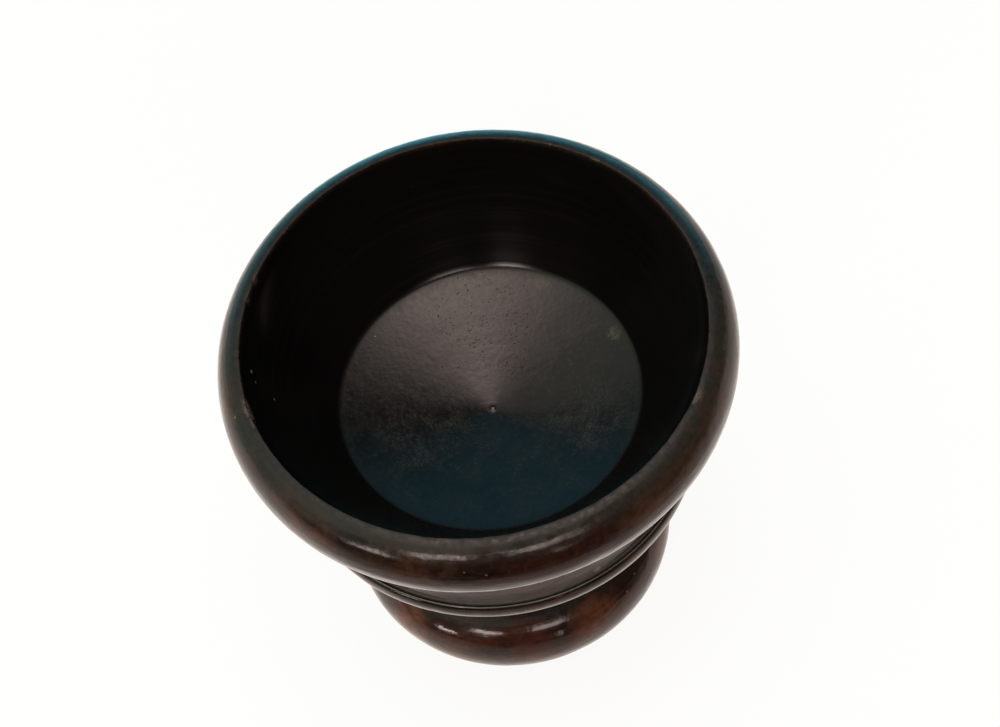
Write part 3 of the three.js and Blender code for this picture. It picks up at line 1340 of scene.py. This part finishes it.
    def marks(self, trace: Trace) -> dict[Mark, np.ndarray]:
        """Crown, edges, inside, floor and pip, by the distance past the mouth's edge or the floor's."""
        edge = trace.station(self.mouth_radius, self.mouth_height)
        floor = trace.station(self.floor_radius, self.floor_edge)
        foot = trace.station(self.waist_radius + self.waist_flare, self.footing)
        past_edge, past_floor = trace.along - edge, trace.along - floor
        corner_reach = np.where(past_floor < 0, *self.corner_reach)
        tip_depth = self.tip_share * self.pip_radius - trace.radius
        return {
            # grime on the crown; its grey-green tint is partly a painted reflection of the light overhead
            Mark.GRIME_AND_SHADE: smooth_step(past_edge, *self.crown_fade) * (past_edge <= 0),
            Mark.DUST: self.foot_dust * near(trace, foot, self.dust_reach),
            Mark.EDGE: near(trace, edge + self.edge_place, self.edge_reach),
            Mark.BRIM: smooth_step(past_edge, *self.brim_fade) * (past_edge <= self.brim_end),
            Mark.INSIDE: smooth_step(past_edge, *self.inside_fade),
            Mark.FLOOR: smooth_step(past_floor, *self.floor_fade),
            Mark.CORNER: near(trace, floor, corner_reach),
            Mark.PIP: smooth_step(tip_depth, 0.0, self.tip_fade) * (past_floor > 0),
            Mark.BARE: (trace.along < foot - self.bare_gap).astype(float),
        }


@dataclass
class BeadRing(TurnedPiece):
    """The collar under the bowl: a tall, shallow bead over a swelling underside, bored for the spigot."""

    name: str = "bead_ring"
    node: str = "bead_collar"
    slot: Slot = Slot.COLLAR
    finish: StainedHardwood = StainedHardwood(
        "collar_stain",
        brown_share=0.6,
        amber_share=0.3,
        relief_share=0.3,
        gloss=0.10,
        seed=4.1,
        worn_wood=(0.1300, 0.0720, 0.0400),
    )
    seed: int = 5
    ovality: float = 0.36
    lean: float = 90.0

    bore: float = 9.15
    bead_height: float = 4.0
    face_radius: float = 3.9
    face_top: float = 15.0
    face_bottom: float = -34.0
    corner_radius: float = 1.4
    corner_top: float = 57.0
    quirk_inset: float = 2.05
    underside_radius: float = 16.6
    lip_height: float = 0.9

    bruises: Scatter = Scatter(21, 46, (-1.6, 1.6), (0.4, 1.6), (0.01, 0.05))
    bare_inset: float = 1.2
    joint_inset: float = 2.2
    joint_depth: float = 0.02
    shade_below: Point = (1.4, 3.4)
    darkening_above: Point = (0.9, 2.0)
    darkening_above_share: float = 0.5
    rub_start: Point = (-1.5, -0.9)
    rub_end: Point = (-0.7, 0.1)
    dust_fade: Point = (-0.22, -0.06)

    def outline(self) -> Trace:
        """Round the ring's section, from its bore along the underside to the bead and back."""
        bottom, top, widest = self.low[2], self.high[2], self.high[0]
        inner = self.face_radius - self.corner_radius
        under, over = math.radians(self.face_bottom), math.radians(self.face_top)
        corner_height = top - self.corner_radius * math.sin(math.radians(self.corner_top))
        face = (widest - self.face_radius, corner_height - inner * math.sin(over))
        corner = (face[0] + inner * math.cos(over), corner_height)
        quirk_height = face[1] + self.face_radius * math.sin(under)
        lip_top = bottom + self.lip_height
        sweep = (widest - self.quirk_inset - self.underside_radius, quirk_height - lip_top)
        face_turns, corner_turns = (self.face_bottom, self.face_top), (self.face_top, self.corner_top)
        outline = Outline(self.bore, bottom)
        outline.line(self.underside_radius, bottom, step=3.0, ease=0.15)
        outline.line(self.underside_radius, lip_top, step=0.6, ease=0.15)
        outline.arc((self.underside_radius, quirk_height), sweep, (-90, 0), ease=0.15)
        outline.line(face[0] + self.face_radius * math.cos(under), quirk_height, step=0.5, ease=0.15)
        outline.arc(face, (self.face_radius, self.face_radius), face_turns, step=0.25)
        outline.arc(corner, (self.corner_radius, self.corner_radius), corner_turns, step=0.2, ease=0.06)
        outline.line(self.bore, top, step=5.0, ease=0.1)
        outline.line(self.bore, bottom, step=4.0, ease=0.1)
        return outline.trace(closed=True)

    def nicks(self, trace: Trace) -> list[Nick]:
        """Small bruises along the bead."""
        bead = trace.station(self.high[0], self.high[2] - self.bead_height / 2)
        return self.bruises.nicks(bead, bead)

    def marks(self, trace: Trace) -> dict[Mark, np.ndarray]:
        """The bead is rubbed, it is darkened above and darkened with painted shade below, and the bore is
        bare.
        """
        past_bead = trace.along - trace.station(self.high[0], self.high[2] - self.bead_height / 2)
        above_top = trace.height - self.high[2]
        hidden = trace.radius < self.underside_radius - self.bare_inset
        hidden |= (above_top > -self.joint_depth) & (trace.radius < self.high[0] - self.joint_inset)
        darkening = self.darkening_above_share * smooth_step(past_bead, *self.darkening_above)
        return {
            Mark.EDGE: smooth_step(past_bead, *self.rub_start) * smooth_step(-past_bead, *self.rub_end),
            # darker above the bead, and painted shade on its underside
            Mark.GRIME_AND_SHADE: darkening + smooth_step(-past_bead, *self.shade_below),
            Mark.DUST: smooth_step(above_top, *self.dust_fade) * ~hidden,
            Mark.BARE: hidden.astype(float),
        }


@dataclass
class CovedStem(TurnedPiece):
    """The stem: a cove between two fillets, a socket above and a sawn tenon below."""

    name: str = "coved_stem"
    node: str = "stem"
    slot: Slot = Slot.STEM
    finish: StainedHardwood = StainedHardwood(
        "stem_stain", brown_share=0.3, amber_share=0.2, gloss=0.24, seed=7.7
    )
    seed: int = 7
    sides: int = 256

    tenon_radius: float = 7.5
    neck_radius: float = 12.8
    shoulder_flare: float = 3.0
    base_flare: float = 5.2
    fillet_height: float = 1.1
    socket_radius: float = 9.15
    socket_web: float = 6.0
    kerf_gap: float = 0.3
    sharp_angle: float = 40.0

    bruises: Scatter = Scatter(31, 14, (0.0, 1.2), (0.4, 1.2), (0.01, 0.05))
    seat_depth: float = 0.05
    seat_inset: float = 0.8
    socket_margin: float = 0.4
    edge_reach: float = 0.4
    shade_share: float = 0.8

    def __post_init__(self) -> None:
        """Works out the shoulder's and the base's radius, and reads the foot's height."""
        super().__post_init__()
        self.base = box_of("foot")[1][2]
        self.shoulder_radius = self.neck_radius + self.shoulder_flare
        self.base_radius = self.neck_radius + self.base_flare

    def outline(self) -> Trace:
        """From the tenon's end up the cove to the shoulder, and down the socket."""
        tenon_end, top = self.low[2], self.high[2]
        cove_bottom, cove_top = self.base + self.fillet_height, top - self.fillet_height
        neck = (cove_bottom + cove_top) / 2
        rise = neck - cove_bottom
        socket_floor = self.base + self.socket_web
        outline = Outline(0.0, tenon_end)
        outline.line(self.tenon_radius, tenon_end, step=1.5, ease=0.1)
        outline.line(self.tenon_radius, self.base, step=3.0, ease=0.1)
        outline.line(self.base_radius, self.base, step=3.0, ease=0.15)
        outline.line(self.base_radius, cove_bottom, step=0.6, ease=0.15)
        outline.arc((self.base_radius, neck), (self.base_flare, rise), (270, 180), step=0.6)
        shoulder_reach = (self.shoulder_flare, rise)
        outline.arc((self.shoulder_radius, neck), shoulder_reach, (180, 90), step=0.6, ease=0.15)
        outline.line(self.shoulder_radius, top, step=0.6, ease=0.15)
        outline.line(self.socket_radius, top, step=3.0, ease=0.1)
        outline.line(self.socket_radius, socket_floor, step=3.0, ease=0.1)
        outline.line(0.0, socket_floor, step=3.0)
        return outline.trace(closed=False)

    def nicks(self, trace: Trace) -> list[Nick]:
        """A few bruises on the base fillet."""
        base = trace.station(self.base_radius, self.base)
        return self.bruises.nicks(base, base)

    def marks(self, trace: Trace) -> dict[Mark, np.ndarray]:
        """The tenon and the socket are bare, and the whole stem is darkened with painted shade."""
        hidden = trace.height < self.base + self.seat_depth
        hidden &= trace.radius < self.base_radius - self.seat_inset
        hidden |= (trace.radius < self.socket_radius + self.socket_margin) & (trace.height > self.base)
        edge = trace.station(self.base_radius, self.base + self.fillet_height)
        shoulder = trace.station(self.shoulder_radius, self.high[2] - self.fillet_height)
        worn = near(trace, edge, self.edge_reach) + near(trace, shoulder, self.edge_reach)
        # painted shade over the whole stem, which stands under the collar
        darkening = np.full(len(trace.radius), self.shade_share)
        return {Mark.EDGE: worn, Mark.GRIME_AND_SHADE: darkening, Mark.BARE: hidden.astype(float)}

    def build(self) -> bpy.types.Object:
        """Turns the stem and saws the wedge's kerf through its tenon."""
        piece = super().build()
        cutter = WedgeSlip(gap=self.kerf_gap, width=4 * self.tenon_radius).build()
        saw = piece.modifiers.new("kerf", "BOOLEAN")
        saw.operation = "DIFFERENCE"
        saw.object = cutter
        graph = bpy.context.evaluated_depsgraph_get()
        sawn = bpy.data.meshes.new_from_object(piece.evaluated_get(graph))
        piece.modifiers.clear()
        piece.data = sawn
        bpy.data.objects.remove(cutter)
        sawn.set_sharp_from_angle(angle=math.radians(self.sharp_angle))
        return piece


@dataclass
class RoundFoot(TurnedPiece):
    """The foot: a half-round edge on a flat resting ring, recessed below and bored for the tenon."""

    name: str = "round_foot"
    node: str = "foot"
    slot: Slot = Slot.FOOT
    finish: StainedHardwood = StainedHardwood(
        "foot_stain",
        shade=1.4,
        brown=(0.0700, 0.0275, 0.0150),
        amber=(0.1150, 0.0345, 0.0155),
        brown_share=0.9,
        amber_share=0.7,
        gloss=0.13,
        seed=2.6,
        worn_wood=(0.2500, 0.1080, 0.0430),
        # the colour of the painted shadow of the collar on the foot's top
        grime_and_shade=(0.0075, 0.0060, 0.0050),
        amber_spots=(Spot((-20.1, -15.4, 10.0), 6.0, 0.7), Spot((9.5, -22.5, 11.0), 6.5, 0.5)),
    )
    seed: int = 9
    tool_depth: float = 0.018

    bore: float = 7.65
    resting_ring: float = 3.8
    recess: float = 2.2

    belly_bruises: Scatter = Scatter(41, 60, (-9.0, 4.0), (0.6, 2.4), (0.01, 0.06))
    heel_bruises: Scatter = Scatter(42, 26, (-11.0, -7.0), (0.5, 1.6), (0.03, 0.12))
    bare_margin: float = 0.3
    bare_share: float = 0.55
    collar_shadow_fade: Point = (-4.6, -3.4)
    ring_reach: float = 3.2
    heel_place: Point = (1.2, 3.6)
    heel_reach: float = 3.4
    heel_share: float = 0.8

    def __post_init__(self) -> None:
        """Works out the edge's half-round and the resting ring from the node's box."""
        super().__post_init__()
        self.roll = self.high[2] / 2
        self.ring_outer = self.high[0] - self.roll
        self.ring_inner = self.ring_outer - self.resting_ring

    def outline(self) -> Trace:
        """Round the ring's section, from its bore along the recess and the edge to the top."""
        outline = Outline(self.bore, self.recess)
        outline.line(self.ring_inner, self.recess, step=0.8, ease=0.4)
        outline.line(self.ring_inner, 0.0, step=0.6, ease=0.25)
        outline.line(self.ring_outer, 0.0, step=0.6, ease=0.0)
        outline.arc((self.ring_outer, self.roll), (self.roll, self.roll), (-90, 90), step=0.62)
        outline.line(self.bore, self.high[2], step=1.6, ease=0.1)
        outline.line(self.bore, self.recess, step=3.0, ease=0.1)
        return outline.trace(closed=True)

    def nicks(self, trace: Trace) -> list[Nick]:
        """Bruises round the edge, more of them low down."""
        belly = trace.station(self.high[0], self.roll)
        return self.belly_bruises.nicks(belly, belly) + self.heel_bruises.nicks(belly, belly)

    def marks(self, trace: Trace) -> dict[Mark, np.ndarray]:
        """The resting ring is rubbed, the top under the collar is darkened with painted shadow, and the
        recess and bore are bare.
        """
        hidden = trace.radius < self.ring_inner - self.bare_margin
        hidden &= trace.height < self.high[2] - self.bare_margin
        hidden |= trace.radius < self.bore + self.bare_margin
        ring = trace.station(self.ring_outer - self.resting_ring / 2, 0.0)
        heel = trace.station(self.high[0] - self.heel_place[0], self.heel_place[1])
        rubbed = near(trace, ring, self.ring_reach) + self.heel_share * near(trace, heel, self.heel_reach)
        # painted shadow of the collar on the foot's top, carried on the grime mark
        collar_shadow = smooth_step(self.ring_outer - trace.radius, *self.collar_shadow_fade) * (trace.height > self.roll)
        return {Mark.EDGE: np.minimum(rubbed, 1.0), Mark.GRIME_AND_SHADE: collar_shadow, Mark.BARE: self.bare_share * hidden}


@dataclass
class WedgeSlip(WoodPiece):
    """The slip driven into the tenon's kerf: a taper with rounded long edges."""

    name: str = "wedge_slip"
    node: str = "tenon_wedge"
    slot: Slot = Slot.WEDGE
    finish: PaleWedgeWood = PaleWedgeWood("wedge_wood_pale")
    gap: float = 0.0
    width: float | None = None
    tip: float = 0.5
    edge_share: float = 0.3
    end_ease: float = 0.12
    end_share: float = 0.2
    sharp_angle: float = 50.0
    end_rows: int = 12
    corner_steps: int = 8

    def build(self) -> bpy.types.Object:
        """Carries a rounded rectangle up the slip as its thickness tapers, and closes both ends.

        A corner's point is its centre plus a radius times the cosine and sine of an angle. Rows
        near an end draw in by the same radius, so the ends are eased too.

        Returns:
            The slip, grown by the gap on every face.
        """
        bottom, top = self.low[2] - self.gap, self.high[2] + self.gap
        thick = self.high[0] - self.low[0] + 2 * self.gap
        thin = self.tip + 2 * self.gap
        width = self.width or self.high[1] - self.low[1]
        rise = np.linspace(0.0, 1.0, self.end_rows)
        inwards = np.minimum(np.minimum(rise, 1 - rise) / self.end_share - 1, 0)
        inset = self.end_ease * (1 - np.sqrt(1 - inwards**2))[:, None]
        level = bottom + (top - bottom) * rise
        half = (thick + (thin - thick) * rise) / 2
        corner = self.edge_share * thin / 2
        quarter = np.linspace(0, math.pi / 2, self.corner_steps)
        angle = np.concatenate([quarter + k * math.pi / 2 for k in range(4)])
        side = np.repeat([(1, 1), (-1, 1), (-1, -1), (1, -1)], self.corner_steps, axis=0)
        x = side[:, 0] * (half[:, None] - corner - inset) + corner * np.cos(angle)
        y = side[:, 1] * (width / 2 - corner - inset) + corner * np.sin(angle)
        z = np.broadcast_to(level[:, None], x.shape)
        grid = np.stack([x, y, z], axis=-1)
        caps = [np.zeros_like(grid[:1]), np.zeros_like(grid[:1])]
        caps[0][..., 2], caps[1][..., 2] = bottom, top
        grid = np.concatenate([caps[0], grid, caps[1]])
        poles = np.zeros(len(grid), bool)
        poles[[0, -1]] = True
        piece = WrappedGrid(self.name, grid, poles, closed=False).build()
        piece.data.set_sharp_from_angle(angle=math.radians(self.sharp_angle))
        return piece


@dataclass(frozen=True)
class Softbox:
    """A soft lamp, placed by the direction in which the salt cellar mirrors it."""

    name: str
    bearing: float
    elevation: float
    width: float
    height: float
    radiance: float
    distance: float = 0.9

    def place(self, aim: Vector) -> None:
        """Sets the lamp up, facing the aim.

        Args:
            aim: the point that it faces and that its bearing and elevation are taken from.
        """
        bearing, elevation = math.radians(self.bearing), math.radians(self.elevation)
        flat = math.cos(elevation)
        away = Vector((math.sin(bearing) * flat, -math.cos(bearing) * flat, math.sin(elevation)))
        lamp = bpy.data.lights.new(self.name, "AREA")
        lamp.shape = "RECTANGLE"
        lamp.size, lamp.size_y = self.width, self.height
        lamp.energy = self.radiance * math.pi * self.width * self.height
        holder = new_object(self.name, lamp)
        holder.location = aim + away * self.distance
        holder.rotation_euler = away.to_track_quat("Z", "Y").to_euler()
        holder.visible_camera = False


def light_paths(board: Board) -> tuple[Signal, Signal]:
    """The shares of rays from the eye, and of mirrored or refracted rays."""
    path = board.add("ShaderNodeLightPath")
    kinds = ("Is Camera Ray", "Is Glossy Ray", "Is Transmission Ray")
    eye, glossy, through = (Signal(board, path.outputs[kind]) for kind in kinds)
    return eye, glossy.larger(through)


@dataclass
class PaperSheet:
    """The white sheet on the table, a dim room in front of it. Its fades are in metres."""

    half: float = 3.0
    drop: float = 0.0002
    warm_tint: Colour = (1.0, 0.89, 0.83)
    far_tint: Colour = (0.30, 0.92, 1.08)
    glow: float = 0.93
    bounce_white: float = 0.55
    mirror_white: float = 0.46
    mirror_glow: float = 0.62
    near_glow: float = 0.35
    near_fade: Point = (-0.042, -0.034)
    front_fade: Point = (-0.150, -0.005)
    side_fade: Point = (0.040, 0.120)
    right_dim: float = 0.50
    left_dim: float = 0.28
    far_fade: Point = (0.08, 0.15)
    far_slant: float = 0.8

    def dress(self, board: Board) -> None:
        """Ends the sheet's tree: it keeps a soft shadow, and glows up to paper white for the eye.

        What the wood mirrors of it is dimmer in front and to both sides, and tinted by distance.
        """
        eye, mirrored = light_paths(board)
        across, depth, _ = board.parts(board.place())
        sheet = depth.step(*self.front_fade)
        near_share = depth.step(*self.near_fade)
        other_white = board.blend(mirrored, self.bounce_white, sheet * self.mirror_white)
        white = board.blend(eye, other_white, 1 - self.glow)
        right = across.step(*self.side_fade) * self.right_dim
        left = (0 - across).step(*self.side_fade) * self.left_dim
        lit = sheet * (1 - right - left) * (self.mirror_glow + near_share * self.near_glow)
        glow = board.blend(eye, mirrored * lit, self.glow)
        behind = depth - across.larger(0 - across) * self.far_slant
        mirrored_tint = board.tone(behind.step(*self.far_fade), self.warm_tint, self.far_tint)
        tint = board.tone(eye, mirrored_tint, PAPER_WHITE)
        shade = board.scaled(tint, white)
        cover = board.add("ShaderNodeBsdfDiffuse", None, {"Color": shade})
        light = board.add("ShaderNodeEmission", None, {"Color": tint, "Strength": glow})
        both = board.add("ShaderNodeAddShader", None, {0: cover.outputs[0], 1: light.outputs[0]})
        board.add("ShaderNodeOutputMaterial", None, {0: both.outputs[0]})

    def lay(self) -> None:
        """Lays the sheet just under the foot."""
        half, low = self.half, -self.drop
        mesh = bpy.data.meshes.new("table")
        corners = [(-half, -half, low), (half, -half, low), (half, half, low), (-half, half, low)]
        mesh.from_pydata(corners, [], [(0, 1, 2, 3)])
        table = new_object("table", mesh)
        material, board = new_board("table_white")
        self.dress(board)
        mesh.materials.append(material)


@dataclass
class DimRoom:
    """The room's light by direction, which the eye sees as paper white.

    A fade is the pair of sines between which a light comes in or goes out.
    """

    dim: float = 0.12
    left: float = 0.58
    left_fade: Point = (0.30, 0.90)
    left_top: Point = (0.50, 0.80)
    high: float = 0.48
    high_left: float = 0.52
    high_fade: Point = (0.73, 0.85)
    high_left_fade: Point = (-0.10, 0.50)
    high_slant: float = 0.28
    front_dim: float = 0.85
    front_fade: Point = (0.20, 0.70)
    front_top: Point = (0.35, 0.70)
    overhead: float = 6.9
    overhead_aim: Triple = (0.04, -0.10, 0.995)
    overhead_focus: float = 15.0
    overhead_tint: Colour = (1.03, 0.98, 0.96)
    overhead_fade: Point = (-0.42, -0.18)
    overhead_middle: Point = (-0.15, 0.10)
    overhead_front: float = 0.55
    cool: Colour = (0.14, 1.33, 1.92)
    cool_fade: Point = (0.50, 0.80)
    cool_top: Point = (0.70, 0.82)
    cool_low: Point = (0.18, 0.42)
    cool_high: float = 0.34
    cool_left: Point = (0.22, 0.52)
    cool_left_dim: float = 0.65
    side_tint: Colour = (0.78, 1.0, 0.90)
    side_fade: Point = (0.10, 0.40)
    black: Colour = (0.0, 0.0, 0.0)
    white: Colour = (1.0, 1.0, 1.0)

    def light(self) -> None:
        """Fills the room: a lamp's wide glow overhead, a lit left and top, and cool light behind."""
        world = bpy.data.worlds.new("room")
        world.use_nodes = True
        bpy.context.scene.world = world
        board = Board(world.node_tree)
        eye, _ = light_paths(board)
        sight = board.add("ShaderNodeTexCoord").outputs["Generated"]
        across, back, up = board.parts(sight)
        ahead, leftwards = 0 - back, 0 - across
        settings = {"operation": "DOT_PRODUCT"}
        aim = board.add("ShaderNodeVectorMath", settings, {0: sight, 1: self.overhead_aim})
        glow = Signal(board, aim.outputs["Value"]).power(self.overhead_focus) * self.overhead
        glow = glow * back.step(*self.overhead_fade)
        glow = glow * board.blend(back.step(*self.overhead_middle), self.overhead_front, 1.0)
        shelf = up - across * self.high_slant
        low = board.blend(up.step(*self.cool_low), 1.0, self.cool_high) * (1 - shelf.step(*self.cool_top))
        cool = back.step(*self.cool_fade) * low * (1 - leftwards.step(*self.cool_left) * self.cool_left_dim)
        left = leftwards.step(*self.left_fade) * (1 - up.step(*self.left_top)) * self.left
        high_level = self.high + leftwards.step(*self.high_left_fade) * self.high_left
        front = ahead.step(*self.front_fade) * (1 - up.step(*self.front_top))
        level = self.dim + left + shelf.step(*self.high_fade) * high_level
        level = level * (1 - front * self.front_dim)
        aside = across.larger(leftwards).step(*self.side_fade)
        tinted = board.scaled(level, board.tone(aside, self.white, self.side_tint))
        sky = board.tone(1.0, board.tone(cool, self.black, self.cool), tinted, Blend.ADD)
        sky = board.tone(1.0, sky, board.scaled(self.overhead_tint, glow), Blend.ADD)
        light = board.add("ShaderNodeBackground", None, {"Color": board.tone(eye, sky, PAPER_WHITE)})
        board.add("ShaderNodeOutputWorld", None, {0: light.outputs[0]})


@dataclass
class Studio:
    """The plain white table, the room's dim light and the soft lamps."""

    sheet: PaperSheet = field(default_factory=PaperSheet)
    room: DimRoom = field(default_factory=DimRoom)
    lamps: tuple[Softbox, ...] = (
        Softbox("left_softbox", -29, 27, 0.23, 0.17, 17.0),
        Softbox("right_softbox", 8, 32, 0.30, 0.20, 8.6),
        Softbox("low_left_lamp", -51, 6, 0.15, 0.07, 22.0),
        Softbox("low_right_lamp", 13, 1, 0.04, 0.20, 6.0),
    )

    def set_up(self) -> None:
        """Lays the sheet, lights the room and puts up the lamps."""
        self.sheet.lay()
        self.room.light()
        low, high = cad_box
        for lamp in self.lamps:
            lamp.place((low + high) / 2)
        bpy.context.scene.view_settings.view_transform = "Standard"


@dataclass(frozen=True)
class PhotoCamera:
    """The camera: where it stands from the middle of the mouth, and how it is turned from it."""

    lens: float = 74.88
    sensor: float = 36.0
    distance: float = 0.2966
    elevation: float = 56.69
    pan: float = 0.549
    tilt: float = 1.168
    roll: float = 12.087
    clip: Point = (0.01, 50.0)

    def set_up(self) -> None:
        """Places the camera: it looks at the mouth's middle, then pans, tilts and rolls."""
        rise = math.radians(self.elevation)
        ahead = Vector((0.0, math.cos(rise), -math.sin(rise)))
        right = Vector((1.0, 0.0, 0.0))
        down = Vector((0.0, -math.sin(rise), -math.cos(rise)))
        eye = Vector((0.0, 0.0, box_of("bowl")[1][2] * MM)) - ahead * self.distance
        pan, tilt, roll = (math.radians(v) for v in (self.pan, self.tilt, self.roll))
        look = (ahead + math.tan(pan) * right + math.tan(tilt) * down).normalized()
        level = (right - look * right.dot(look)).normalized()
        below = look.cross(level)
        across = math.cos(roll) * level + math.sin(roll) * below
        top = math.sin(roll) * level - math.cos(roll) * below
        camera = bpy.data.cameras.new("photo_camera")
        camera.lens, camera.sensor_width = self.lens, self.sensor
        camera.clip_start, camera.clip_end = self.clip
        holder = new_object("photo_camera", camera)
        holder.matrix_world = Matrix.Translation(eye) @ Matrix((across, top, -look)).transposed().to_4x4()
        bpy.context.scene.camera = holder


def main() -> None:
    """Sets up the camera and the studio, then builds and reports each piece."""
    logging.basicConfig(level=logging.INFO, format="%(message)s")
    PhotoCamera().set_up()
    Studio().set_up()
    for part in (SaltBowl(), BeadRing(), CovedStem(), RoundFoot(), WedgeSlip()):
        piece = part.make()
        log.info("%s: %d faces, in place of %s", piece.name, len(piece.data.polygons), part.node)


if __name__ == "__main__":
    main()
